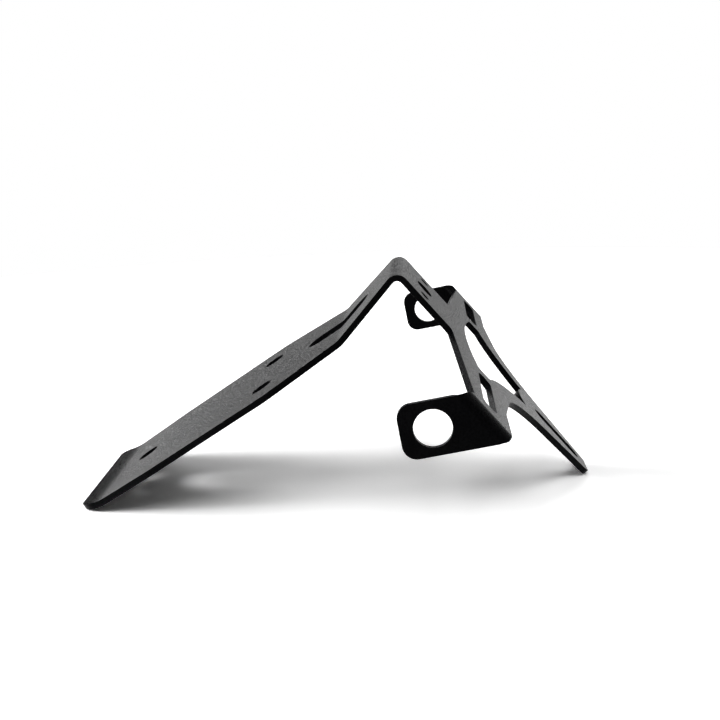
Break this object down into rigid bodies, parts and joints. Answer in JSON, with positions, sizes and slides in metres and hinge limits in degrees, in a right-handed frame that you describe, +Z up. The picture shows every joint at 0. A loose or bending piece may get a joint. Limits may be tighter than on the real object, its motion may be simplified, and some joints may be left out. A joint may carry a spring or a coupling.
{
  "type": "motorbike tail tidy",
  "caption": "Folded steel tail tidy: a tail plate with bolt holes, a peaked fold and a slotted plate holder with an indicator ear at the end of each arm.",
  "frame": {"origin": "middle of the bounding box, on the floor that the lip and the tongue's tip stand on", "axes": "+X from the lip to the tongue, +Y across the arms, +Z up; the part is mirrored about Y = 0"},
  "size_m": [0.164, 0.19, 0.0712],
  "materials": {
    "black_powder_coat": "fine matt texture"
  },
  "bodies": {
    "root": {"folded_bracket": "black_powder_coat"}
  },
  "joints": []
}
